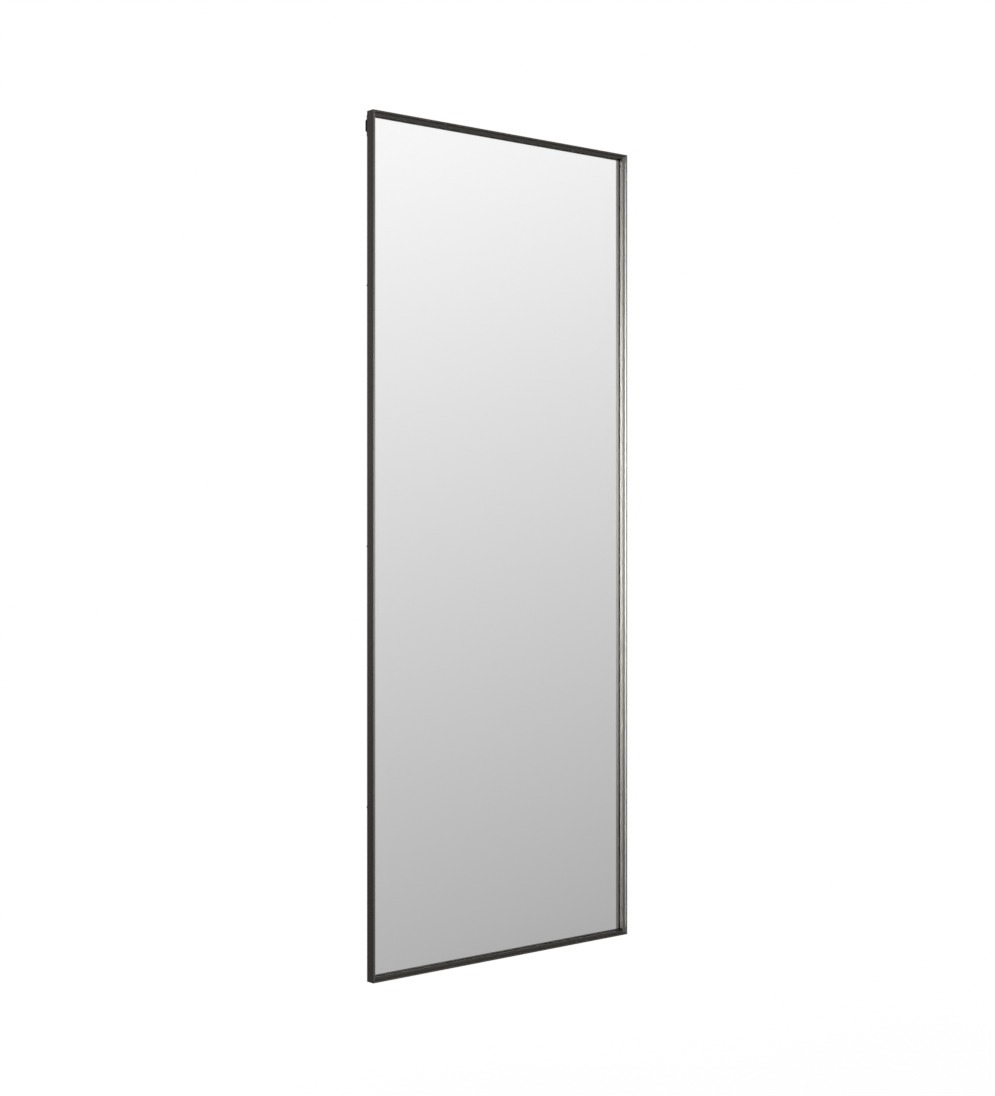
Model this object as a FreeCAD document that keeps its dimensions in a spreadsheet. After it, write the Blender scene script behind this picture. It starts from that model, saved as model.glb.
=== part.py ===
import FreeCAD, Part
import os
import Sketcher

# Tall wall mirror: four mitred hollow rails make a stepped tray round a deep-set glass.
# Row frame: +Z up, +X to the right as seen from the front, front face towards -Y.
# Origin: midway between the two keyhole entries, on the rear face of the hanging bar (the wall).

doc = FreeCAD.newDocument("tall_mirror")

# Driving dimensions, in millimetres
drivingSizes = {
    # Frame outside
    "frame_height": 2000,
    "frame_width": 800,
    # Rail section: lip, step outwards, wall down to the glass, rim round the back
    "lip_width": 4,
    "step_width": 6.5,
    "step_depth": 6.5,
    "glass_recess": 16.8,
    "rim_width": 6,
    "rail_wall": 1.2,
    "edge_round": 0.6,
    # Glass, film, board and what seats them
    "glass_thick": 4,
    "glass_gap": 1,
    "glass_arris": 0.4,
    "film_thick": 0.2,
    "board_thick": 4,
    "board_gap": 0.5,
    "board_corner": 2,
    "tape_thick": 0.5,
    "tape_margin": 0.2,
    "tape_setback": 0.8,
    "block_length": 60,
    "block_inset": 200,
    # Corner keys and their grub screws
    "key_leg": 62,
    "key_clear": 0.15,
    "key_chamfer": 1,
    "grub_radius": 1,
    "grub_near": 24,
    "grub_end": 12,
    "grub_tip": 3,
    "grub_socket": 0.52,
    "access_clear": 0.2,
    "thread_clear": 0.05,
    # Pan-head screws of the turn buttons and the hanging bar
    "screw_radius": 1.3,
    "screw_grip": 5,
    "head_radius": 2.4,
    "head_height": 1.7,
    "head_round": 0.6,
    "head_clear": 0.1,
    "drive_half_length": 1.3,
    "drive_half_width": 0.3,
    "drive_depth": 0.9,
    # Turn buttons
    "button_half_width": 2.9,
    "button_reach": 15,
    "button_thick": 1.2,
    "button_round": 0.3,
    "button_lift": 0.2,
    "button_turn_clear": 0.05,
    "button_end_inset": 400,
    "button_side_inset": 200,
    # Hanging bar with its keyholes
    "bar_top_gap": 8,
    "bar_base": 30,
    "bar_side_run": 4,
    "bar_proud": 7,
    "bar_foot": 10,
    "bar_sheet": 1.5,
    "bar_bend": 1.2,
    "bar_inset": 0.5,
    "keyhole_inset": 120,
    "keyhole_entry": 4.5,
    "keyhole_slot": 2.3,
    "keyhole_rise": 7,
    # Rubber wall buffers
    "buffer_length": 30,
    "buffer_width": 12,
    "buffer_round": 2.5,
    "buffer_inset": 60,
    "buffer_margin": 1,
}

sheet = doc.addObject("Spreadsheet::Sheet", "Sizes")
for row, (alias, size) in enumerate(drivingSizes.items(), start=1):
    cell = "B%d" % row
    sheet.set("A%d" % row, alias)
    sheet.set(cell, str(size))
    sheet.setAlias(cell, alias)
doc.recompute()

# Places worked out from the sizes: inward is measured from the frame's outer face,
# depth from the front of the lip, and up and across from the middle of the frame
halfHeight = "(Sizes.frame_height / 2)"
halfWidth = "(Sizes.frame_width / 2)"
innerEdge = "(Sizes.lip_width + Sizes.step_width)"
ledgeDepth = "(Sizes.glass_recess - Sizes.tape_thick)"
filmDepth = "(Sizes.glass_recess + Sizes.glass_thick)"
boardDepth = "(Sizes.glass_recess + Sizes.glass_thick + Sizes.film_thick)"
backDepth = "(Sizes.glass_recess + Sizes.glass_thick + Sizes.film_thick + Sizes.board_thick)"
wallDepth = "(%s + Sizes.bar_proud)" % backDepth
glassEdge = "(Sizes.rim_width + Sizes.glass_gap)"
boardEdge = "(Sizes.rim_width + Sizes.board_gap)"
rimMiddle = "(Sizes.rim_width / 2)"
barMiddle = "(%s - Sizes.bar_top_gap - Sizes.bar_foot - Sizes.bar_base / 2)" % halfHeight
barScrewRise = "(Sizes.bar_base / 2 + Sizes.bar_foot / 2)"
keyholeEntryUp = "(%s - Sizes.keyhole_rise / 2)" % barMiddle
keyInner = "(%s - Sizes.rail_wall - Sizes.key_clear)" % innerEdge
keyOuter = "(Sizes.rail_wall + Sizes.key_clear)"
keyFront = "(Sizes.step_depth + Sizes.rail_wall + Sizes.key_clear)"
keyBack = "(%s - Sizes.rail_wall - Sizes.key_clear)" % ledgeDepth
grubFront = "(Sizes.step_depth + Sizes.rail_wall)"
grubInset = "((Sizes.rim_width + %s - Sizes.rail_wall) / 2)" % innerEdge
grubPlaces = ["Sizes.grub_near", "(Sizes.key_leg - Sizes.grub_end)"]
buttonSeat = "(%s + Sizes.button_lift)" % backDepth
buttonHeadSeat = "(%s + Sizes.button_thick + Sizes.head_clear)" % buttonSeat
barHeadSeat = "(%s + Sizes.bar_sheet)" % backDepth

subparts = []


def value(expression):
    return float(sheet.evalExpression(expression))


def startBody(name):
    body = doc.addObject("PartDesign::Body", name)
    body.Label = name
    subparts.append(body)
    return body


def startSketch(body, name, plane, depth="0"):
    # A sketch on one of the body's own planes; depth moves an XZ sketch back from the frame's front
    sketch = body.newObject("Sketcher::SketchObject", name)
    origin = [feature for feature in body.Origin.OriginFeatures if feature.Role == plane][0]
    sketch.AttachmentSupport = [(origin, "")]
    sketch.MapMode = "FlatFace"
    if depth != "0":
        sketch.setExpression("AttachmentOffset.Base.z", "-" + depth)
    return sketch


def bind(sketch, kind, items, expression):
    index = sketch.addConstraint(Sketcher.Constraint(kind, *items, value(expression)))
    sketch.setExpression("Constraints[%d]" % index, expression)


def drawPolygon(sketch, corners):
    # Closed outline of straight lines through corners given as pairs of expressions
    points = [FreeCAD.Vector(value(across), value(up), 0) for across, up in corners]
    count = len(points)
    lines = [Part.LineSegment(points[k], points[(k + 1) % count]) for k in range(count)]
    ids = sketch.addGeometry(lines, False)
    for k in range(count):
        sketch.addConstraint(Sketcher.Constraint("Coincident", ids[k], 2, ids[(k + 1) % count], 1))
    for k, (across, up) in enumerate(corners):
        bind(sketch, "DistanceX", (-1, 1, ids[k], 1), across)
        bind(sketch, "DistanceY", (-1, 1, ids[k], 1), up)


def drawRectangle(sketch, across, up, halfAcross, halfUp):
    left = "%s - %s" % (across, halfAcross)
    right = "%s + %s" % (across, halfAcross)
    low = "%s - %s" % (up, halfUp)
    high = "%s + %s" % (up, halfUp)
    drawPolygon(sketch, [(left, low), (right, low), (right, high), (left, high)])


def drawCircle(sketch, across, up, radius):
    centre = FreeCAD.Vector(value(across), value(up), 0)
    circle = sketch.addGeometry(Part.Circle(centre, FreeCAD.Vector(0, 0, 1), value(radius)), False)
    bind(sketch, "DistanceX", (-1, 1, circle, 3), across)
    bind(sketch, "DistanceY", (-1, 1, circle, 3), up)
    bind(sketch, "Radius", (circle,), radius)


def drawStadium(sketch, first, second, radius):
    # Two half circles joined by tangent lines, from a first centre to a second one
    start = FreeCAD.Vector(value(first[0]), value(first[1]), 0)
    end = FreeCAD.Vector(value(second[0]), value(second[1]), 0)
    size = value(radius)
    along = (end - start).normalize()
    side = FreeCAD.Vector(-along.y, along.x, 0) * size
    tip = along * size
    near = Part.Arc(start + side, start - tip, start - side)
    far = Part.Arc(end - side, end + tip, end + side)
    right = Part.LineSegment(start - side, end - side)
    left = Part.LineSegment(end + side, start + side)
    nearArc, farArc, rightLine, leftLine = sketch.addGeometry([near, far, right, left], False)
    sketch.addConstraint(Sketcher.Constraint("Tangent", nearArc, 2, rightLine, 1))
    sketch.addConstraint(Sketcher.Constraint("Tangent", rightLine, 2, farArc, 1))
    sketch.addConstraint(Sketcher.Constraint("Tangent", farArc, 2, leftLine, 1))
    sketch.addConstraint(Sketcher.Constraint("Tangent", leftLine, 2, nearArc, 1))
    for arc, centre in ((nearArc, first), (farArc, second)):
        bind(sketch, "DistanceX", (-1, 1, arc, 3), centre[0])
        bind(sketch, "DistanceY", (-1, 1, arc, 3), centre[1])
    bind(sketch, "Radius", (nearArc,), radius)


def addPad(body, sketch, length, towardsBack=True):
    pad = body.newObject("PartDesign::Pad", sketch.Name + "_pad")
    pad.Profile = sketch
    pad.Reversed = towardsBack
    pad.setExpression("Length", length)
    doc.recompute()
    return pad


def addPocket(body, sketch, length=None):
    # An XZ sketch cuts towards the front by a length, or with no length right through to the back
    before = body.Shape.Volume
    pocket = body.newObject("PartDesign::Pocket", sketch.Name + "_cut")
    pocket.Profile = sketch
    if length is None:
        pocket.Type = "ThroughAll"
    else:
        pocket.Reversed = True
        pocket.setExpression("Length", length)
    doc.recompute()
    if not body.Shape.Volume < before:
        raise RuntimeError("%s cuts nothing" % pocket.Name)


def dressEdges(body, kind, size, isWanted, name):
    # A fillet or chamfer on those edges of the body's last feature for which the test is true
    tip = body.Tip
    names = ["Edge%d" % (k + 1) for k, edge in enumerate(tip.Shape.Edges) if isWanted(edge)]
    feature = body.newObject("PartDesign::" + kind, name)
    feature.Base = (tip, names)
    feature.setExpression("Radius" if kind == "Fillet" else "Size", size)
    doc.recompute()


def near(first, second):
    return abs(first - second) < 0.001


def liesAt(depth):
    # A test for edges that lie flat at one depth
    def isThere(edge):
        return near(edge.BoundBox.YMin, value(depth)) and near(edge.BoundBox.YMax, value(depth))

    return isThere


def place(item, across="0", depth="0", up="0", turn=0):
    # across and up count from the frame's middle, depth from the lip's front, turn is about Y
    rotation = FreeCAD.Rotation(FreeCAD.Vector(0, 1, 0), turn)
    item.Placement = FreeCAD.Placement(FreeCAD.Vector(), rotation)
    item.setExpression("Placement.Base.x", across)
    item.setExpression("Placement.Base.y", "%s - %s" % (depth, wallDepth))
    item.setExpression("Placement.Base.z", "%s - %s" % (up, keyholeEntryUp))


# Rails: hollow section along X, inward is +Z, later turned about Y into its place
def makeRail(name, length, screwHoles, across, up, turn):
    body = startBody(name)
    wall = "Sizes.rail_wall"
    section = startSketch(body, name + "_section", "YZ_Plane")
    drawPolygon(section, [
        ("0", "0"),
        ("0", "Sizes.lip_width"),
        ("Sizes.step_depth", "Sizes.lip_width"),
        ("Sizes.step_depth", innerEdge),
        (ledgeDepth, innerEdge),
        (ledgeDepth, "Sizes.rim_width"),
        (backDepth, "Sizes.rim_width"),
        (backDepth, "0"),
    ])
    drawPolygon(section, [
        (wall, wall),
        (wall, "Sizes.lip_width - " + wall),
        ("Sizes.step_depth + " + wall, "Sizes.lip_width - " + wall),
        ("Sizes.step_depth + " + wall, innerEdge + " - " + wall),
        (ledgeDepth + " - " + wall, innerEdge + " - " + wall),
        (ledgeDepth + " - " + wall, "Sizes.rim_width - " + wall),
        (backDepth + " - " + wall, "Sizes.rim_width - " + wall),
        (backDepth + " - " + wall, wall),
    ])
    pad = addPad(body, section, length, False)
    pad.SideType = "Symmetric"
    doc.recompute()

    # Soft front edges, where the section's corners show from the front or the side
    rounded = [
        (0, 0),
        (0, value("Sizes.lip_width")),
        (value("Sizes.step_depth"), value(innerEdge)),
        (value(backDepth), 0),
    ]

    def isShownEdge(edge):
        middle = edge.BoundBox.Center
        along = edge.BoundBox.XLength > value(length) / 2
        return along and any(near(middle.y, depth) and near(middle.z, inward) for depth, inward in rounded)

    dressEdges(body, "Fillet", "Sizes.edge_round", isShownEdge, name + "_edges")

    # Mitred ends
    mitre = startSketch(body, name + "_mitre", "XZ_Plane")
    for sign in ("", "-"):
        drawPolygon(mitre, [
            ("%s(%s / 2 + %s)" % (sign, length, innerEdge), "-" + innerEdge),
            ("%s(%s / 2 - 2 * %s)" % (sign, length, innerEdge), "2 * " + innerEdge),
            ("%s(%s / 2 + %s)" % (sign, length, innerEdge), "2 * " + innerEdge),
        ])
    addPocket(body, mitre)

    # Ways through the ledge to the grub screws, hidden behind the glass
    access = startSketch(body, name + "_access", "XZ_Plane", ledgeDepth)
    for sign in ("", "-"):
        for distance in grubPlaces:
            along = "%s(%s / 2 - %s)" % (sign, length, distance)
            drawCircle(access, along, grubInset, "Sizes.grub_radius + Sizes.access_clear")
    addPocket(body, access, wall)

    # Screw holes in the rim
    if screwHoles:
        holes = startSketch(body, name + "_holes", "XZ_Plane", backDepth)
        for along in screwHoles:
            drawCircle(holes, along, rimMiddle, "Sizes.screw_radius + Sizes.thread_clear")
        addPocket(body, holes, "Sizes.screw_grip")
    place(body, across, "0", up, turn)


highButton = "(%s - Sizes.button_end_inset)" % halfHeight
rightButton = "(%s - Sizes.button_side_inset)" % halfWidth
sideButtons = {"low": "-" + highButton, "mid": "0", "high": highButton}
bottomButtons = {"left": "-" + rightButton, "right": rightButton}
barScrewUps = ["%s + %s" % (barMiddle, barScrewRise), "%s - %s" % (barMiddle, barScrewRise)]
sideScrewUps = list(sideButtons.values()) + barScrewUps

leftHoles = ["-(%s)" % up for up in sideScrewUps]
makeRail("left_rail", "Sizes.frame_height", leftHoles, "-" + halfWidth, "0", 90)
makeRail("right_rail", "Sizes.frame_height", sideScrewUps, halfWidth, "0", -90)
makeRail("top_rail", "Sizes.frame_width", [], "0", halfHeight, 180)
makeRail("bottom_rail", "Sizes.frame_width", list(bottomButtons.values()), "0", "-" + halfHeight, 0)


# Corner keys: an L in the hollow of two rails, drawn for the bottom left corner
def makeCornerKey(name, across, up, turn):
    body = startBody(name)
    shape = startSketch(body, name + "_shape", "XZ_Plane", keyFront)
    drawPolygon(shape, [
        (keyOuter, keyOuter),
        ("Sizes.key_leg", keyOuter),
        ("Sizes.key_leg", keyInner),
        (keyInner, keyInner),
        (keyInner, "Sizes.key_leg"),
        (keyOuter, "Sizes.key_leg"),
    ])
    addPad(body, shape, "%s - %s" % (keyBack, keyFront))
    holes = startSketch(body, name + "_holes", "XZ_Plane", keyBack)
    for distance in grubPlaces:
        drawCircle(holes, distance, grubInset, "Sizes.grub_radius + Sizes.thread_clear")
        drawCircle(holes, grubInset, distance, "Sizes.grub_radius + Sizes.thread_clear")
    addPocket(body, holes, "%s - %s" % (keyBack, keyFront))

    def isLegEnd(edge):
        # The edges across the thickness at the ends of the two legs
        middle = edge.BoundBox.Center
        across = edge.BoundBox.YLength < 0.001
        return across and (near(middle.x, value("Sizes.key_leg")) or near(middle.z, value("Sizes.key_leg")))

    dressEdges(body, "Chamfer", "Sizes.key_chamfer", isLegEnd, name + "_lead_in")
    place(body, across, "0", up, turn)


makeCornerKey("corner_key_bottom_left", "-" + halfWidth, "-" + halfHeight, 0)
makeCornerKey("corner_key_top_left", "-" + halfWidth, halfHeight, 90)
makeCornerKey("corner_key_top_right", halfWidth, halfHeight, 180)
makeCornerKey("corner_key_bottom_right", halfWidth, "-" + halfHeight, 270)


# Grub screws: two in each leg of each key, their tips on the front wall of the hollow
def makeGrubScrews():
    body = startBody("corner_grub_screws")
    centres = []
    for acrossSign in ("", "-"):
        for upSign in ("", "-"):
            for distance in grubPlaces:
                for inX, inZ in ((distance, grubInset), (grubInset, distance)):
                    across = "%s(%s - %s)" % (acrossSign, halfWidth, inX)
                    up = "%s(%s - %s)" % (upSign, halfHeight, inZ)
                    centres.append((across, up))
    shanks = startSketch(body, "grub_shanks", "XZ_Plane", grubFront)
    for across, up in centres:
        drawCircle(shanks, across, up, "Sizes.grub_radius")
    addPad(body, shanks, "%s - %s" % (keyBack, grubFront))
    sockets = startSketch(body, "grub_sockets", "XZ_Plane", keyBack)
    for across, up in centres:
        corners = []
        for corner in range(6):
            angle = 60 * corner
            corners.append((
                "%s + Sizes.grub_socket * cos(%d)" % (across, angle),
                "%s + Sizes.grub_socket * sin(%d)" % (up, angle),
            ))
        drawPolygon(sockets, corners)
    addPocket(body, sockets, "%s - %s - Sizes.grub_tip" % (keyBack, grubFront))
    place(body)


makeGrubScrews()


glassWidth = "(Sizes.frame_width - 2 * %s)" % glassEdge
glassHeight = "(Sizes.frame_height - 2 * %s)" % glassEdge


# Glass, with its front arrises taken off
def makeGlass():
    body = startBody("mirror_glass")
    outline = startSketch(body, "glass_outline", "XZ_Plane", "Sizes.glass_recess")
    drawRectangle(outline, "0", "0", glassWidth + " / 2", glassHeight + " / 2")
    addPad(body, outline, "Sizes.glass_thick")
    dressEdges(body, "Chamfer", "Sizes.glass_arris", liesAt("Sizes.glass_recess"), "glass_arrises")
    place(body)


makeGlass()


# Flat boxes: film, tapes and setting blocks
def makeBox(name, across, depth, up, width, thick, height, isNode=True):
    box = doc.addObject("Part::Box", name)
    box.Label = name
    box.setExpression("Length", width)
    box.setExpression("Width", thick)
    box.setExpression("Height", height)
    place(box, across, depth, up)
    if isNode:
        subparts.append(box)
    return box


filmLeft = "-%s / 2" % glassWidth
filmLow = "-%s / 2" % glassHeight
makeBox("safety_film", filmLeft, filmDepth, filmLow, glassWidth, "Sizes.film_thick", glassHeight)

# Tapes: the level ones run the full width, the upright ones stand between them
tapeOuter = "(%s + Sizes.tape_margin)" % glassEdge
tapeInner = "(%s - Sizes.tape_setback)" % innerEdge
tapeBand = "(%s - %s)" % (tapeInner, tapeOuter)
tapeThick = "Sizes.tape_thick"
tapeLeft = "-%s + %s" % (halfWidth, tapeOuter)
tapeRight = "%s - %s" % (halfWidth, tapeInner)
tapeLow = "-%s + %s" % (halfHeight, tapeOuter)
tapeHigh = "%s - %s" % (halfHeight, tapeInner)
tapeStart = "-%s + %s" % (halfHeight, tapeInner)
tapeWidth = "Sizes.frame_width - 2 * %s" % tapeOuter
tapeHeight = "Sizes.frame_height - 2 * %s" % tapeInner
for side, up in (("top", tapeHigh), ("bottom", tapeLow)):
    makeBox("seating_tape_" + side, tapeLeft, ledgeDepth, up, tapeWidth, tapeThick, tapeBand)
for side, across in (("left", tapeLeft), ("right", tapeRight)):
    makeBox("seating_tape_" + side, across, ledgeDepth, tapeStart, tapeBand, tapeThick, tapeHeight)

blocks = []
blockLow = "-%s + Sizes.rim_width" % halfHeight
blockSize = ("Sizes.block_length", "Sizes.glass_thick", "Sizes.glass_gap")
for side, sign in (("left", "-"), ("right", "")):
    blockLeft = "%s(%s - Sizes.block_inset) - Sizes.block_length / 2" % (sign, halfWidth)
    block = makeBox("setting_block_" + side, blockLeft, "Sizes.glass_recess", blockLow, *blockSize, False)
    blocks.append(block)
blockGroup = doc.addObject("Part::Compound", "glass_setting_blocks")
blockGroup.Label = "glass_setting_blocks"
blockGroup.Links = blocks
subparts.append(blockGroup)


# Backing board, flush with the rear rims
def makeBoard():
    body = startBody("backing_board")
    outline = startSketch(body, "board_outline", "XZ_Plane", boardDepth)
    halfBoard = ["(%s - %s)" % (half, boardEdge) for half in (halfWidth, halfHeight)]
    drawRectangle(outline, "0", "0", halfBoard[0], halfBoard[1])
    addPad(body, outline, "Sizes.board_thick")

    def isCorner(edge):
        return edge.BoundBox.YLength > value("Sizes.board_thick") / 2

    dressEdges(body, "Fillet", "Sizes.board_corner", isCorner, "board_corners")
    place(body)


makeBoard()


# Turn buttons: drawn pointing up from the pivot, turned about Y to point into the frame
def makeTurnButton(name, across, up, turn):
    body = startBody(name)
    shape = startSketch(body, name + "_shape", "XZ_Plane")
    drawStadium(shape, ("0", "0"), ("0", "Sizes.button_reach"), "Sizes.button_half_width")
    addPad(body, shape, "Sizes.button_thick")
    dressEdges(body, "Fillet", "Sizes.button_round", liesAt("Sizes.button_thick"), name + "_edges")
    pivot = startSketch(body, name + "_pivot", "XZ_Plane", "Sizes.button_thick")
    drawCircle(pivot, "0", "0", "Sizes.screw_radius + Sizes.button_turn_clear")
    addPocket(body, pivot, "Sizes.button_thick")
    place(body, across, buttonSeat, up, turn)


leftPivot = "-%s + %s" % (halfWidth, rimMiddle)
rightPivot = "%s - %s" % (halfWidth, rimMiddle)
lowPivot = "-%s + %s" % (halfHeight, rimMiddle)
buttonScrews = []
for height, up in sideButtons.items():
    makeTurnButton("turn_button_left_" + height, leftPivot, up, 90)
    makeTurnButton("turn_button_right_" + height, rightPivot, up, -90)
    buttonScrews += [(leftPivot, up), (rightPivot, up)]
for side, across in bottomButtons.items():
    makeTurnButton("turn_button_bottom_" + side, across, lowPivot, 0)
    buttonScrews.append((across, lowPivot))


# Pan-head screws with a cross recess, all with their heads at one depth
def makeScrews(name, centres, headSeat):
    body = startBody(name)
    shanks = startSketch(body, name + "_shanks", "XZ_Plane", headSeat)
    heads = startSketch(body, name + "_heads", "XZ_Plane", headSeat)
    for across, up in centres:
        drawCircle(shanks, across, up, "Sizes.screw_radius")
        drawCircle(heads, across, up, "Sizes.head_radius")
    addPad(body, shanks, "%s - %s + Sizes.screw_grip" % (headSeat, backDepth), False)
    addPad(body, heads, "Sizes.head_height")
    headTop = "(%s + Sizes.head_height)" % headSeat
    dressEdges(body, "Fillet", "Sizes.head_round", liesAt(headTop), name + "_crowns")
    bars = (
        ("level", "Sizes.drive_half_length", "Sizes.drive_half_width"),
        ("upright", "Sizes.drive_half_width", "Sizes.drive_half_length"),
    )
    for direction, halfAcross, halfUp in bars:
        recess = startSketch(body, name + "_" + direction, "XZ_Plane", headTop)
        for across, up in centres:
            drawRectangle(recess, "(%s)" % across, "(%s)" % up, halfAcross, halfUp)
        addPocket(body, recess, "Sizes.drive_depth")
    place(body)


makeScrews("turn_button_screws", buttonScrews, buttonHeadSeat)
barScrews = [(across, up) for across in (leftPivot, rightPivot) for up in barScrewUps]
makeScrews("hanging_bar_screws", barScrews, barHeadSeat)


# Hanging bar: a pressed hat section across the back, with a keyhole towards each end
def makeHangingBar():
    body = startBody("hanging_bar")
    sheetThick = "Sizes.bar_sheet"
    rise = "(Sizes.bar_proud - Sizes.bar_sheet)"
    shift = "(Sizes.bar_sheet * tan(atan(%s / Sizes.bar_side_run) / 2))" % rise
    halfBase = "(Sizes.bar_base / 2)"
    halfWeb = "(Sizes.bar_base / 2 - Sizes.bar_side_run)"
    innerWeb = "(%s + Sizes.bar_proud - Sizes.bar_sheet)" % backDepth
    outerFoot = "(%s + Sizes.bar_sheet)" % backDepth
    hollowSide = [
        (backDepth, "(%s + Sizes.bar_foot)" % halfBase),
        (backDepth, halfBase),
        (innerWeb, halfWeb),
    ]
    wallSide = [
        (wallDepth, "(%s + %s)" % (halfWeb, shift)),
        (outerFoot, "(%s + %s)" % (halfBase, shift)),
        (outerFoot, "(%s + Sizes.bar_foot)" % halfBase),
    ]
    above = [(depth, "%s + %s" % (barMiddle, up)) for depth, up in hollowSide]
    below = [(depth, "%s - %s" % (barMiddle, up)) for depth, up in reversed(hollowSide)]
    belowBack = [(depth, "%s - %s" % (barMiddle, up)) for depth, up in reversed(wallSide)]
    aboveBack = [(depth, "%s + %s" % (barMiddle, up)) for depth, up in wallSide]
    section = startSketch(body, "bar_section", "YZ_Plane")
    drawPolygon(section, above + below + belowBack + aboveBack)
    pad = addPad(body, section, "Sizes.frame_width - 2 * Sizes.bar_inset", False)
    pad.SideType = "Symmetric"
    doc.recompute()

    # Bends: small on the hollow side, one sheet thickness larger on the other
    def bendTest(places):
        spots = [(value(depth), value(up)) for depth, up in places]

        def isBend(edge):
            middle = edge.BoundBox.Center
            along = edge.BoundBox.XLength > value("Sizes.frame_width") / 2
            return along and any(near(middle.y, depth) and near(middle.z, up) for depth, up in spots)

        return isBend

    tightBends = [above[2], below[0], belowBack[1], aboveBack[1]]
    wideBends = [above[1], below[1], belowBack[2], aboveBack[0]]
    dressEdges(body, "Fillet", "Sizes.bar_bend", bendTest(tightBends), "bar_tight_bends")
    dressEdges(body, "Fillet", "Sizes.bar_bend + Sizes.bar_sheet", bendTest(wideBends), "bar_wide_bends")

    # Keyholes: a round entry for the screw's head and a slot that rises from it
    entries = startSketch(body, "keyhole_entries", "XZ_Plane", wallDepth)
    slots = startSketch(body, "keyhole_slots", "XZ_Plane", wallDepth)
    for sign in ("-", ""):
        across = "%s(%s - Sizes.keyhole_inset)" % (sign, halfWidth)
        slotTop = "%s + Sizes.keyhole_rise" % keyholeEntryUp
        drawCircle(entries, across, keyholeEntryUp, "Sizes.keyhole_entry")
        drawStadium(slots, (across, keyholeEntryUp), (across, slotTop), "Sizes.keyhole_slot")
    addPocket(body, entries, sheetThick)
    addPocket(body, slots, sheetThick)

    holes = startSketch(body, "bar_holes", "XZ_Plane", outerFoot)
    for across, up in barScrews:
        drawCircle(holes, across, up, "Sizes.screw_radius + Sizes.thread_clear")
    addPocket(body, holes, sheetThick)
    place(body)


makeHangingBar()


# Wall buffers: domed rubber pads at the lower corners, as proud as the hanging bar
def makeBuffer(name, sign):
    body = startBody(name)
    shape = startSketch(body, name + "_shape", "XZ_Plane", backDepth)
    radius = "Sizes.buffer_width / 2"
    up = "-%s + Sizes.buffer_margin + %s" % (halfHeight, radius)
    middle = "%s(%s - Sizes.buffer_inset)" % (sign, halfWidth)
    reach = "(Sizes.buffer_length / 2 - %s)" % radius
    drawStadium(shape, ("%s - %s" % (middle, reach), up), ("%s + %s" % (middle, reach), up), radius)
    addPad(body, shape, "Sizes.bar_proud")
    dressEdges(body, "Fillet", "Sizes.buffer_round", liesAt(wallDepth), name + "_crown")
    place(body)


makeBuffer("wall_buffer_left", "-")
makeBuffer("wall_buffer_right", "")

doc.recompute()

# Nothing is written unless every object is sound
for item in doc.Objects:
    if "Invalid" in item.State or "Error" in item.State:
        raise RuntimeError("%s failed: %s" % (item.Name, item.State))
for item in subparts:
    if item.Shape.isNull() or not item.Shape.isValid():
        raise RuntimeError("%s has no sound shape" % item.Label)

os.makedirs("parts", exist_ok=True)
for item in subparts:
    item.Shape.exportStep("parts/%s.step" % item.Label)
    print(item.Label, len(item.Shape.Solids), round(item.Shape.Volume, 1))
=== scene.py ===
import bmesh
import bpy
import math
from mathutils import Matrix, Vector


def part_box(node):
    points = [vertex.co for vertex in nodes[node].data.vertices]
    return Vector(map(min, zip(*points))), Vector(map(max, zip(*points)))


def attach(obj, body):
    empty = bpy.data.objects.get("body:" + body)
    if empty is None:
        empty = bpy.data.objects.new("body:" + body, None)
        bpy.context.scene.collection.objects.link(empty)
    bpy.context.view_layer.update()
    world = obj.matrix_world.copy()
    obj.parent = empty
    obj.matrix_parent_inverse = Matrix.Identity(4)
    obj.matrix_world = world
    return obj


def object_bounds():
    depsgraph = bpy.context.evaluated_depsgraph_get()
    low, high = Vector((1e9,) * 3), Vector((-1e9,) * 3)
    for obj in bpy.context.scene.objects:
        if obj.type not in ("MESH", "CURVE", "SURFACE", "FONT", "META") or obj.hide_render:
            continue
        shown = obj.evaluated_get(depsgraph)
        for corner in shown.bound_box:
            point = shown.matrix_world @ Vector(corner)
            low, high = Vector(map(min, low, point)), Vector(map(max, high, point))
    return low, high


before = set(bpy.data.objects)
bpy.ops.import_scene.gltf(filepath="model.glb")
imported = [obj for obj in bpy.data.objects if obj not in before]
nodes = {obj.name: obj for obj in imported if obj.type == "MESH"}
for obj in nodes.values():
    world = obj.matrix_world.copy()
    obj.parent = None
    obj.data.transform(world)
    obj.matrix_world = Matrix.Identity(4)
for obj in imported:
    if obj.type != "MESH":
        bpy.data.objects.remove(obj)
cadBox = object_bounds()
scene = bpy.context.scene
scene.view_settings.view_transform = "Standard"
white = (1.0, 1.0, 1.0, 1.0)
print("frame loaded:", len(nodes), "nodes")


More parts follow.
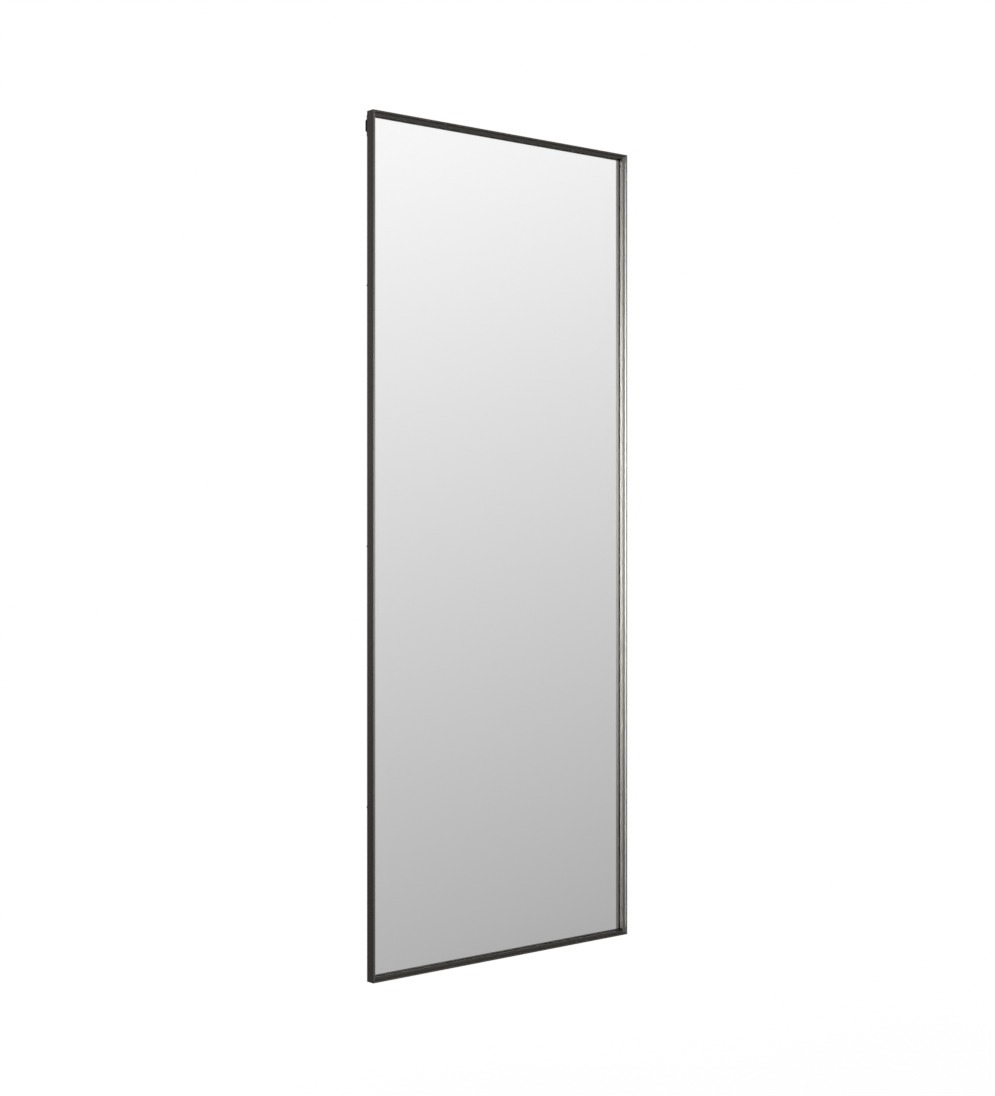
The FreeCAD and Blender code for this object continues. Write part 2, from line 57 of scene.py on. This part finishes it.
class Wire:
    # One output socket; sums on it add Math nodes to its tree
    def __init__(self, socket):
        self.socket = socket

    def sums(self, operation, *items):
        tree = self.socket.id_data
        node = tree.nodes.new("ShaderNodeMath")
        node.operation = operation
        for slot, item in zip(node.inputs, items):
            if isinstance(item, Wire):
                tree.links.new(item.socket, slot)
            else:
                slot.default_value = item
        return Wire(node.outputs[0])

    def __add__(self, other):
        return self.sums("ADD", self, other)

    def __radd__(self, other):
        return self.sums("ADD", other, self)

    def __sub__(self, other):
        return self.sums("SUBTRACT", self, other)

    def __rsub__(self, other):
        return self.sums("SUBTRACT", other, self)

    def __mul__(self, other):
        return self.sums("MULTIPLY", self, other)

    def __rmul__(self, other):
        return self.sums("MULTIPLY", other, self)

    def __truediv__(self, other):
        return self.sums("DIVIDE", self, other)

    def __rtruediv__(self, other):
        return self.sums("DIVIDE", other, self)

    def __pow__(self, other):
        return self.sums("POWER", self, other)

    def __abs__(self):
        return self.sums("ABSOLUTE", self)

    def __gt__(self, other):
        return self.sums("GREATER_THAN", self, other)

    def __lt__(self, other):
        return self.sums("LESS_THAN", self, other)

    def sine(self):
        return self.sums("SINE", self)

    def largest(self, other):
        return self.sums("MAXIMUM", self, other)

    def smallest(self, other):
        return self.sums("MINIMUM", self, other)

    def also(self, name):
        # Another output of the same node
        return Wire(self.socket.node.outputs[name])


class Shading:
    # The node tree of one material or of the world
    def __init__(self, owner):
        owner.use_nodes = True
        self.owner = owner
        self.tree = owner.node_tree
        self.tree.nodes.clear()

    def add(self, kind, settings=None, sockets=None, give=0):
        # Settings come first, because some of them change which sockets there are
        node = self.tree.nodes.new(kind)
        for name, setting in (settings or {}).items():
            setattr(node, name, setting)
        for name, item in (sockets or {}).items():
            slot = self.find(node.inputs, name)
            if isinstance(item, Wire):
                self.tree.links.new(item.socket, slot)
            else:
                slot.default_value = item
        return Wire(self.find(node.outputs, give)) if len(node.outputs) else node

    def find(self, sockets, name):
        # By identifier where a node has several sockets of one name, otherwise by name or number
        known = [socket for socket in sockets if socket.identifier == name]
        return known[0] if known else sockets[name]

    def own(self):
        # The piece's own coordinates in metres
        return self.add("ShaderNodeTexCoord", give="Object")

    def parted(self, vector):
        # The X of a vector; also("Y") and also("Z") give the others
        return self.add("ShaderNodeSeparateXYZ", {}, {"Vector": vector})

    def stretched(self, scales, where=None):
        # Coordinates, the piece's own if no others are given, times so many per metre on each axis
        if where is None:
            where = self.own()
        return self.add("ShaderNodeVectorMath", {"operation": "MULTIPLY"}, {0: where, 1: scales})

    def noise(self, where, detail=2.0, rough=0.5):
        sockets = {"Vector": where, "Scale": 1.0, "Detail": detail, "Roughness": rough}
        return self.add("ShaderNodeTexNoise", {}, sockets)

    def grain(self, perMetre, detail=2.0, rough=0.5):
        # Noise that is alike on all axes
        return self.noise(self.stretched((perMetre, perMetre, perMetre)), detail, rough)

    def spread(self, item, low, high, toLow=0.0, toHigh=1.0):
        # A smooth step from low to high
        sockets = {"Value": item, "From Min": low, "From Max": high, "To Min": toLow, "To Max": toHigh}
        return self.add("ShaderNodeMapRange", {"interpolation_type": "SMOOTHSTEP"}, sockets)

    def blend(self, factor, first, second):
        sockets = {"Factor_Float": factor, "A_Color": first, "B_Color": second}
        return self.add("ShaderNodeMix", {"data_type": "RGBA"}, sockets, "Result_Color")

    def bump(self, height, strength, distance):
        return self.add("ShaderNodeBump", {}, {"Height": height, "Strength": strength, "Distance": distance})

    def finish(self, shader, kind="ShaderNodeOutputMaterial"):
        self.add(kind, {}, {"Surface": shader})

    def surface(self, sockets):
        # Ends a material and gives it back
        self.finish(self.add("ShaderNodeBsdfPrincipled", {}, sockets))
        return self.owner


def newShading(name):
    return Shading(bpy.data.materials.new(name))


def rgba(colour, times=1.0):
    return (*(part * times for part in colour), 1.0)


def mixed(share, first, second):
    return first * share + second * (1 - share)


def around(middle, noise, varies):
    # A value that varies with a noise, whose own middle is a half
    return middle + (noise - 0.5) * varies


def patchy(least, tone):
    return least + tone * (1 - least)


def fromEdge(parts, low, high):
    # How far in from the nearest side or end of an upright box
    end = (high.z - low.z) / 2 - abs(parts.also("Z") - (high.z + low.z) / 2)
    return (high.x - abs(parts)).smallest(end)


def starting(text):
    return [name for name in nodes if name.startswith(text)]


def dress(material, names):
    for name in names:
        slots = nodes[name].data.materials
        slots.clear()
        slots.append(material)


# Frame: aluminium brushed along each rail and anodised dark bronze
bronze = {
    "dark": (0.112, 0.1035, 0.0925),
    "light": (0.131, 0.1215, 0.109),
    "streakWidth": 0.00016,
    "streakLength": 0.16,
    "broader": 14,  # broad streaks are so many times as wide as fine ones
    "longer": 3,  # and so many times as long
    "cloud": 5.0,
    "fineShare": 0.55,
    "broadShare": 0.3,
    "cloudShare": 0.15,
    "toneRange": (0.3, 0.7),
    "roughness": 0.31,
    "streakVaries": 0.05,
    "cloudVaries": 0.02,
    "brush": 1.0,
    "relief": 0.06,
    "reliefDepth": 0.00002,
    "reliefFine": 0.7,
    # Where the faces lie, from the frame's outside and from its front
    "faceBand": 0.0003,
    "lipWidth": 0.004,
    "stepDepth": 0.0065,
    # The lip's inner wall gets pale metal, a painted highlight line
    "paintedHighlight": (0.54, 0.535, 0.525),
    "paintedHighlightFrom": 0.0007,
    "paintedHighlightTo": 0.0062,
    "paintedHighlightLeast": 0.8,
    # Uprights: the outer arris is darker, a painted shade that damps its highlight
    "arrisShade": (0.045, 0.0415, 0.037),
    "arrisShadeWidth": 0.0011,
    "arrisShadeDepth": 0.0016,
    "arrisShadeLeast": 0.7,
    # Level rails: lip and walls are paler than the step, a painted light that brightens the level rails
    "levelPaintedLight": 1.42,
    "levelTurn": 0.25,
    "levelCentre": (0.0, 1000.0, 0.0),  # far off, so that the brushing runs level all along
}


def brushedBronze(name, along):
    upright = along == "Z"
    across = 1 / bronze["streakWidth"]
    slow = 1 / bronze["streakLength"]
    fine = tuple(slow if axis == along else across for axis in "XYZ")
    broad = tuple(slow / bronze["longer"] if axis == along else across / bronze["broader"] for axis in "XYZ")
    shade = newShading(name)
    hair = shade.noise(shade.stretched(fine), detail=3.0, rough=0.6)
    band = shade.noise(shade.stretched(broad))
    cloud = shade.grain(bronze["cloud"])
    tone = hair * bronze["fineShare"] + band * bronze["broadShare"] + cloud * bronze["cloudShare"]
    tone = shade.spread(tone, *bronze["toneRange"])
    colour = shade.blend(tone, rgba(bronze["dark"]), rgba(bronze["light"]))
    low, high = cadBox[0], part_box("top_rail")[1]
    parts = shade.parted(shade.own())
    inward = fromEdge(parts, low, high)
    deep = parts.also("Y") - low.y
    if not upright:
        # Painted light: the level rails' lip and walls lighter than their step
        lift = bronze["levelPaintedLight"]
        pale = shade.blend(tone, rgba(bronze["dark"], lift), rgba(bronze["light"], lift))
        colour = shade.blend(abs(deep - bronze["stepDepth"]) < bronze["faceBand"], pale, colour)
    # Painted highlight: pale metal on the lip's inner wall
    onHighlightWall = abs(inward - bronze["lipWidth"]) < bronze["faceBand"]
    onHighlightWall = onHighlightWall * (deep > bronze["paintedHighlightFrom"]) * (deep < bronze["paintedHighlightTo"])
    colour = shade.blend(onHighlightWall * patchy(bronze["paintedHighlightLeast"], tone), colour, rgba(bronze["paintedHighlight"]))
    if upright:
        # Painted shade on the uprights' outer arris, damping its highlight
        onArrisShade = (inward < bronze["arrisShadeWidth"]) * (deep < bronze["arrisShadeDepth"])
        colour = shade.blend(onArrisShade * patchy(bronze["arrisShadeLeast"], tone), colour, rgba(bronze["arrisShade"]))
    roughness = around(bronze["roughness"], hair, bronze["streakVaries"])
    roughness = around(roughness, cloud, bronze["cloudVaries"])
    height = mixed(bronze["reliefFine"], hair, band)
    return shade.surface({
        "Base Color": colour,
        "Metallic": 1.0,
        "Roughness": roughness,
        "Normal": shade.bump(height, bronze["relief"], bronze["reliefDepth"]),
        "Anisotropic": bronze["brush"],
        "Anisotropic Rotation": 0.0 if upright else bronze["levelTurn"],
    })


dress(brushedBronze("bronze_brushed_upright", "Z"), ["left_rail", "right_rail"])
dress(brushedBronze("bronze_brushed_level", "X"), ["top_rail", "bottom_rail"])
for name in ("top_rail", "bottom_rail"):
    mesh = nodes[name].data
    mesh.use_auto_texspace = False
    mesh.texspace_location = bronze["levelCentre"]
print("rails brushed")


# Mirror: clear glass with its silver on the back face
mirror = {
    "tint": (0.99, 0.99, 0.989),
    # Near its edges the glass is tinted darker and greener, a painted shade on the frame's reflection
    "edgeShadeTint": (0.80, 0.90, 0.85),
    "edgeShadeBand": 0.004,
    "index": 1.52,
    "silver": (0.955, 0.955, 0.955),
    "silverLeast": 0.99,
    "silverCloud": 3.0,
    "silverThick": 0.00006,
    "silverBehind": 0.00002,
    "silverInset": 0.0006,
    "cornerRadius": 0.0015,
    "cornerSteps": 8,
    "paintDark": (0.16, 0.17, 0.17),
    "paintLight": (0.24, 0.25, 0.25),
    "paintGrain": 900.0,
    "paintRoughness": 0.5,
    "paintVaries": 0.2,
}


def clearGlass():
    shade = newShading("mirror_clear_glass")
    inward = fromEdge(shade.parted(shade.own()), *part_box("mirror_glass"))
    # Painted shade: darker, greener glass near the edges dims the frame's reflection there
    edgeShade = shade.spread(inward, 0.0, mirror["edgeShadeBand"], 1.0, 0.0)
    return shade.surface({
        "Base Color": shade.blend(edgeShade, rgba(mirror["tint"]), rgba(mirror["edgeShadeTint"])),
        "Roughness": 0.0,
        "IOR": mirror["index"],
        "Transmission Weight": 1.0,
    })


def silvering():
    shade = newShading("mirror_silver")
    cloud = shade.grain(mirror["silverCloud"])
    deep = rgba(mirror["silver"], mirror["silverLeast"])
    return shade.surface({
        "Base Color": shade.blend(cloud, deep, rgba(mirror["silver"])),
        "Metallic": 1.0,
        "Roughness": 0.0,
    })


def backPaint():
    shade = newShading("mirror_back_paint")
    grain = shade.grain(mirror["paintGrain"])
    return shade.surface({
        "Base Color": shade.blend(grain, rgba(mirror["paintDark"]), rgba(mirror["paintLight"])),
        "Roughness": around(mirror["paintRoughness"], grain, mirror["paintVaries"]),
    })


def makeSilver():
    # A thin layer with rounded corners, just inside the back face of the glass
    low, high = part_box("mirror_glass")
    centre = (low + high) / 2
    radius = mirror["cornerRadius"]
    halfX = high.x - centre.x - mirror["silverInset"] - radius
    halfZ = high.z - centre.z - mirror["silverInset"] - radius
    rim = []
    for quarter, (signX, signZ) in enumerate(((1, 1), (-1, 1), (-1, -1), (1, -1))):
        for step in range(mirror["cornerSteps"] + 1):
            angle = math.radians(90 * quarter + 90 * step / mirror["cornerSteps"])
            x = centre.x + signX * halfX + radius * math.cos(angle)
            z = centre.z + signZ * halfZ + radius * math.sin(angle)
            rim.append((x, z))
    back = high.y - mirror["silverBehind"]
    front = back - mirror["silverThick"]
    sheet = bmesh.new()
    frontRing = [sheet.verts.new((x, front, z)) for x, z in rim]
    backRing = [sheet.verts.new((x, back, z)) for x, z in rim]
    sheet.faces.new(frontRing)
    painted = [sheet.faces.new(backRing[::-1])]
    for k in range(len(rim)):
        n = (k + 1) % len(rim)
        painted.append(sheet.faces.new((frontRing[n], frontRing[k], backRing[k], backRing[n])))
    for face in painted:
        face.material_index = 1
    bmesh.ops.recalc_face_normals(sheet, faces=sheet.faces)
    mesh = bpy.data.meshes.new("silver_layer")
    sheet.to_mesh(mesh)
    sheet.free()
    mesh.materials.append(silvering())
    mesh.materials.append(backPaint())
    layer = bpy.data.objects.new("silver_layer", mesh)
    scene.collection.objects.link(layer)
    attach(layer, "frame")


dress(clearGlass(), ["mirror_glass"])
makeSilver()
print("glass silvered")


# Backing board: hardboard, a felt of pressed fibres that lie all ways
board = {
    "dark": (0.175, 0.1, 0.052),
    "light": (0.345, 0.215, 0.12),
    "fibreWidth": 0.00045,
    "fibreLength": 0.0045,
    "fibreTurns": (14.0, 71.0, 133.0),
    "feltShare": 0.9,
    "cloud": 40.0,
    "toneRange": (0.42, 0.72),
    "fleck": (0.09, 0.052, 0.028),
    "fleckSize": 0.0014,
    "fleckRange": (0.68, 0.76),
    "fleckMost": 0.5,
    "roughness": 0.59,
    "roughVaries": 0.3,
    "relief": 0.25,
    "reliefDepth": 0.00006,
}


def hardboard():
    shade = newShading("hardboard_brown")
    own = shade.own()
    scales = (1 / board["fibreWidth"], 1 / board["fibreWidth"], 1 / board["fibreLength"])
    layers = []
    for turn in board["fibreTurns"]:
        sockets = {"Vector": own, "Angle": math.radians(turn)}
        turned = shade.add("ShaderNodeVectorRotate", {"rotation_type": "Y_AXIS"}, sockets)
        layers.append(shade.noise(shade.stretched(scales, turned), detail=1.0))
    felt = layers[0]
    for layer in layers[1:]:
        felt = felt.largest(layer)
    cloud = shade.grain(board["cloud"], detail=3.0, rough=0.6)
    tone = shade.spread(mixed(board["feltShare"], felt, cloud), *board["toneRange"])
    colour = shade.blend(tone, rgba(board["dark"]), rgba(board["light"]))
    fleck = shade.grain(1 / board["fleckSize"], detail=1.0)
    fleck = shade.spread(fleck, *board["fleckRange"], 0.0, board["fleckMost"])
    return shade.surface({
        "Base Color": shade.blend(fleck, colour, rgba(board["fleck"])),
        "Roughness": around(board["roughness"], felt, board["roughVaries"]),
        "Normal": shade.bump(felt, board["relief"], board["reliefDepth"]),
    })


dress(hardboard(), ["backing_board"])
print("board pressed")


# Zinc-plated steel: turn buttons and screws
zinc = {
    "dark": (0.44, 0.45, 0.46),
    "light": (0.66, 0.66, 0.65),
    "bloom": 260.0,
    "grain": 2600.0,
    "scratch": (5200.0, 5200.0, 240.0),
    "bloomShare": 0.6,
    "toneRange": (0.35, 0.65),
    "gold": (0.62, 0.58, 0.46),
    "goldRange": (0.5, 0.75),
    "goldMost": 0.45,
    "buttonRoughness": 0.36,
    "screwRoughness": 0.3,
    "roughVaries": 0.25,
    "relief": 0.15,
    "reliefDepth": 0.00002,
    "scratchShare": 0.5,
}


def zincPlate(name, roughness):
    shade = newShading(name)
    bloom = shade.grain(zinc["bloom"], detail=3.0)
    grain = shade.grain(zinc["grain"], detail=3.0, rough=0.6)
    scratch = shade.noise(shade.stretched(zinc["scratch"]))
    tone = shade.spread(mixed(zinc["bloomShare"], bloom, grain), *zinc["toneRange"])
    colour = shade.blend(tone, rgba(zinc["dark"]), rgba(zinc["light"]))
    golden = shade.spread(bloom, *zinc["goldRange"], 0.0, zinc["goldMost"])
    height = mixed(zinc["scratchShare"], scratch, grain)
    return shade.surface({
        "Base Color": shade.blend(golden, colour, rgba(zinc["gold"])),
        "Metallic": 1.0,
        "Roughness": around(roughness, grain, zinc["roughVaries"]),
        "Normal": shade.bump(height, zinc["relief"], zinc["reliefDepth"]),
    })


screws = ["turn_button_screws", "hanging_bar_screws"]
buttons = [name for name in starting("turn_button_") if name not in screws]
dress(zincPlate("zinc_stamped", zinc["buttonRoughness"]), buttons)
dress(zincPlate("zinc_screws", zinc["screwRoughness"]), screws)
print("buttons and screws plated")


# Hanging bar: black powder coat over pressed steel
coat = {
    "dark": (0.012, 0.012, 0.0125),
    "light": (0.03, 0.03, 0.031),
    "peelSize": 0.0011,
    "cloud": 14.0,
    "peelShare": 0.6,
    "toneRange": (0.35, 0.65),
    "roughness": 0.5,
    "roughVaries": 0.2,
    "relief": 0.2,
    "reliefDepth": 0.0001,
}


def powderCoat():
    shade = newShading("powder_coat_black")
    peel = shade.grain(1 / coat["peelSize"])
    cloud = shade.grain(coat["cloud"])
    tone = shade.spread(mixed(coat["peelShare"], peel, cloud), *coat["toneRange"])
    return shade.surface({
        "Base Color": shade.blend(tone, rgba(coat["dark"]), rgba(coat["light"])),
        "Roughness": around(coat["roughness"], peel, coat["roughVaries"]),
        "Normal": shade.bump(peel, coat["relief"], coat["reliefDepth"]),
    })


dress(powderCoat(), ["hanging_bar"])
print("bar coated")


# Rubber and foam: wall buffers, setting blocks and seating tapes
rubber = {
    "buffer": {"colour": (0.035, 0.035, 0.036), "cell": 0.0004, "roughness": 0.7},
    "block": {"colour": (0.025, 0.025, 0.025), "cell": 0.0005, "roughness": 0.75},
    "foam": {"colour": (0.11, 0.11, 0.111), "cell": 0.0003, "roughness": 0.85},
    "paler": 1.7,
    "paleAdds": 0.004,
    "dust": 60.0,
    "grainShare": 0.4,
    "toneRange": (0.35, 0.7),
    "roughVaries": 0.25,
    "relief": 0.3,
    "reliefDepth": 0.15,  # of a cell
}


def rubberLike(name, kind):
    shade = newShading(name)
    grain = shade.grain(1 / kind["cell"], detail=3.0, rough=0.6)
    dust = shade.grain(rubber["dust"], detail=3.0)
    pale = tuple(part * rubber["paler"] + rubber["paleAdds"] for part in kind["colour"])
    tone = shade.spread(mixed(rubber["grainShare"], grain, dust), *rubber["toneRange"])
    return shade.surface({
        "Base Color": shade.blend(tone, rgba(kind["colour"]), rgba(pale)),
        "Roughness": around(kind["roughness"], dust, rubber["roughVaries"]),
        "Normal": shade.bump(grain, rubber["relief"], rubber["reliefDepth"] * kind["cell"]),
    })


dress(rubberLike("rubber_buffer", rubber["buffer"]), starting("wall_buffer_"))
dress(rubberLike("rubber_block", rubber["block"]), ["glass_setting_blocks"])
dress(rubberLike("foam_tape", rubber["foam"]), starting("seating_tape_"))
print("rubber and foam done")


# Corner keys and grub screws inside the rails
cast = {
    "key": {"dark": (0.42, 0.42, 0.43), "light": (0.62, 0.62, 0.63), "grain": 0.0009, "roughness": 0.5},
    "grub": {"dark": (0.03, 0.03, 0.032), "light": (0.075, 0.075, 0.08), "grain": 0.0005, "roughness": 0.4},
    "flow": 90.0,
    "grainShare": 0.5,
    "toneRange": (0.35, 0.65),
    "roughVaries": 0.2,
    "relief": 0.25,
    "reliefDepth": 0.00004,
}


def castMetal(name, kind):
    shade = newShading(name)
    grain = shade.grain(1 / kind["grain"], detail=3.0, rough=0.6)
    flow = shade.grain(cast["flow"], detail=3.0)
    tone = shade.spread(mixed(cast["grainShare"], grain, flow), *cast["toneRange"])
    return shade.surface({
        "Base Color": shade.blend(tone, rgba(kind["dark"]), rgba(kind["light"])),
        "Metallic": 1.0,
        "Roughness": around(kind["roughness"], grain, cast["roughVaries"]),
        "Normal": shade.bump(grain, cast["relief"], cast["reliefDepth"]),
    })


dress(castMetal("cast_keys", cast["key"]), starting("corner_key_"))
dress(castMetal("grub_black", cast["grub"]), ["corner_grub_screws"])
print("keys and grub screws done")


# Splinter film on the back of the glass
film = {
    "dark": (0.5, 0.53, 0.55),
    "light": (0.72, 0.75, 0.77),
    "weave": 0.0008,
    "cloud": 12.0,
    "weaveShare": 0.7,
    "toneRange": (0.4, 0.95),
    "roughness": 0.5,
    "roughVaries": 0.2,
    "relief": 0.2,
    "reliefDepth": 0.00005,
}


def splinterFilm():
    shade = newShading("film_woven")
    turns = 2 * math.pi / film["weave"]
    parts = shade.parted(shade.own())
    warp = (parts * turns).sine()
    weft = (parts.also("Z") * turns).sine()
    weave = abs(warp).largest(abs(weft))
    cloud = shade.grain(film["cloud"])
    tone = shade.spread(mixed(film["weaveShare"], weave, cloud), *film["toneRange"])
    return shade.surface({
        "Base Color": shade.blend(tone, rgba(film["dark"]), rgba(film["light"])),
        "Roughness": around(film["roughness"], cloud, film["roughVaries"]),
        "Normal": shade.bump(weave, film["relief"], film["reliefDepth"]),
    })


dress(splinterFilm(), ["safety_film"])
print("film done")


# Camera: the photo's own angle and framing
view = {
    "place": (-2.8175, -3.412, -0.9279),
    "turn": -39.493,
    "lens": 59.547,
    "sensor": 36.0,
    "rise": -0.0157,
}
cameraData = bpy.data.cameras.new("photo_camera")
cameraData.lens = view["lens"]
cameraData.sensor_width = view["sensor"]
cameraData.shift_y = view["rise"]
camera = bpy.data.objects.new("photo_camera", cameraData)
camera.location = view["place"]
camera.rotation_euler = (math.radians(90), 0.0, math.radians(view["turn"]))
scene.collection.objects.link(camera)
scene.camera = camera
print("camera set")


# Studio: white to the camera; round the object a pale surround, lighter above, with one soft window
studio = {
    # Surround: how light it is ahead, and how that changes with height and to the right
    "level": 0.7045,
    "slope": 1.1436,
    "bend": 0.443,
    "sideFall": 0.2318,
    "sideMiddle": 0.82,
    "sideReach": 0.12,
    "aheadLeast": 0.2,
    "least": 0.2,
    "most": 1.0,
    # Dimmer parts: where each begins and ends, then how much is left, or lost at the ends
    "ceiling": (0.2, 0.5),
    "ceilingDim": 0.1,
    "ends": (0.2, 0.35),
    "endSides": (-0.08, 0.12),
    "endLoss": 0.5,
    "back": (-0.25, 0.45),
    "backDim": 0.45,
    # What the left rail's outer side shows
    "left": (-0.85, -0.3),
    "leftLevel": 0.15,
    "leftEnds": 1.05,
    "leftTilt": 0.3,
    # Window: its turn and half its width in degrees, straight and by way of the glass
    "window": (-16.5, 36.5),
    "windowMirrored": (-40.0, 60.0),
    "windowSoft": 10.0,
    "windowStrength": 10.6,
    "windowColour": (0.95, 1.0, 1.035),
    # Each pair: the window's left side, then its right side
    "windowSides": (-0.45, 0.05),
    "windowRise": (0.045, 0.015),
    "windowHeight": (0.165, 0.1),
    "windowBelow": 0.72,  # it fades more slowly downwards
}


def surroundLevel(shade, dx, dy, dz):
    reach = studio["sideReach"]
    aside = dx / (dy * -1.0).largest(studio["aheadLeast"]) - studio["sideMiddle"]
    aside = aside.largest(-reach).smallest(reach)
    level = studio["level"] + (studio["slope"] + studio["bend"] * dz) * dz - studio["sideFall"] * aside
    level = level.largest(studio["least"]).smallest(studio["most"])
    level = level * shade.spread(dz, *studio["ceiling"], 1.0, studio["ceilingDim"])
    ends = shade.spread(abs(dz), *studio["ends"])
    level = level * (1 - ends * shade.spread(aside, *studio["endSides"], 0.0, studio["endLoss"]))
    left = studio["leftLevel"] + studio["leftEnds"] * (abs(dz) - dz * studio["leftTilt"])
    level = level + (left - level) * shade.spread(dx, *studio["left"], 1.0, 0.0)
    return level * shade.spread(dy, *studio["back"], 1.0, studio["backDim"])


def windowLevel(shade, dx, dy, dz, path):
    flat = (1.0001 - dz * dz) ** 0.5  # never quite nothing
    spans = []
    for turn, half in (studio["window"], studio["windowMirrored"]):
        ahead = (dx * math.sin(math.radians(turn)) - dy * math.cos(math.radians(turn))) / flat
        outer = math.cos(math.radians(half))
        inner = math.cos(math.radians(half - studio["windowSoft"]))
        spans.append(shade.spread(ahead, outer, inner))
    # By way of the glass the window reaches further left
    mirrored = path.also("Is Singular Ray")
    sideways = spans[0] + (spans[1] - spans[0]) * mirrored
    middle = shade.spread(dx / flat, *studio["windowSides"], *studio["windowRise"])
    height = shade.spread(dx / flat, *studio["windowSides"], *studio["windowHeight"])
    rise = (dz - middle) / height
    rise = rise.largest(rise * -studio["windowBelow"])
    window = sideways * studio["windowStrength"] / (1 + rise * rise) ** 2
    # The mirror itself shows the plain surround: off the glass, the window comes only at the second bounce
    bounces = path.also("Glossy Depth")
    straight = mirrored * ((bounces < 1.5) + (bounces > 2.5))
    return window * (1 - straight)


def makeStudio():
    world = bpy.data.worlds.new("studio")
    scene.world = world
    shade = Shading(world)
    dx = shade.parted(shade.add("ShaderNodeTexCoord", give="Generated"))
    dy = dx.also("Y")
    dz = dx.also("Z")
    path = shade.add("ShaderNodeLightPath", give="Is Camera Ray")
    level = surroundLevel(shade, dx, dy, dz)
    window = windowLevel(shade, dx, dy, dz, path)
    surround = shade.add("ShaderNodeBackground", {}, {"Color": white, "Strength": level})
    tint = rgba(studio["windowColour"])
    daylight = shade.add("ShaderNodeBackground", {}, {"Color": tint, "Strength": window})
    room = shade.add("ShaderNodeAddShader", {}, {0: surround, 1: daylight})
    plain = shade.add("ShaderNodeBackground", {}, {"Color": white, "Strength": 1.0})
    shade.finish(shade.add("ShaderNodeMixShader", {}, {0: path, 1: room, 2: plain}), "ShaderNodeOutputWorld")


makeStudio()


# Soft lamps for the back and the top; only one shows in the metal, for the zinc at the back
lamps = {
    "behind_left": {"place": (-2.6, 3.0, 0.6), "size": 2.4, "watts": 150.0, "shine": False},
    "behind_right": {"place": (2.6, 3.0, 0.2), "size": 2.4, "watts": 150.0, "shine": True},
    "above": {"place": (0.0, -0.6, 2.6), "size": 2.4, "watts": 60.0, "shine": False},
}


def makeLamp(name, settings):
    data = bpy.data.lights.new(name, "AREA")
    data.shape = "SQUARE"
    data.size = settings["size"]
    data.energy = settings["watts"]
    lamp = bpy.data.objects.new(name, data)
    lamp.location = settings["place"]
    aim = (cadBox[0] + cadBox[1]) / 2 - lamp.location
    lamp.rotation_euler = aim.to_track_quat("-Z", "Y").to_euler()
    lamp.visible_glossy = settings["shine"]
    scene.collection.objects.link(lamp)


for name, settings in lamps.items():
    makeLamp(name, settings)


# Floor: pale, below the hung mirror, and white further off
floor = {
    "drop": 0.45,
    "half": 14.0,
    "colour": (0.86, 0.855, 0.845),
    "colourLeast": 0.98,
    "cloud": 1.5,
    "whiteNear": 0.93,
    "whiteRange": (0.2, 3.2),
}


def makeFloor():
    half = floor["half"]
    level = cadBox[0].z - floor["drop"]
    corners = [(-half, -half, level), (half, -half, level), (half, half, level), (-half, half, level)]
    mesh = bpy.data.meshes.new("floor")
    mesh.from_pydata(corners, [], [(0, 1, 2, 3)])
    plane = bpy.data.objects.new("floor", mesh)
    scene.collection.objects.link(plane)
    shade = newShading("floor_pale")
    deep = rgba(floor["colour"], floor["colourLeast"])
    colour = shade.blend(shade.grain(floor["cloud"]), deep, rgba(floor["colour"]))
    path = shade.add("ShaderNodeLightPath", give="Is Camera Ray")
    flat = shade.stretched((1.0, 1.0, 0.0))
    away = shade.add("ShaderNodeVectorMath", {"operation": "LENGTH"}, {0: flat}, "Value")
    lift = shade.spread(away, *floor["whiteRange"], floor["whiteNear"], 1.0)
    paint = shade.add("ShaderNodeBsdfDiffuse", {}, {"Color": colour})
    plain = shade.add("ShaderNodeEmission", {}, {"Color": white, "Strength": 1.0})
    shade.finish(shade.add("ShaderNodeMixShader", {}, {0: path * lift, 1: paint, 2: plain}))
    mesh.materials.append(shade.owner)
    plane.visible_glossy = False
    plane.visible_transmission = False


makeFloor()
print("studio lit")
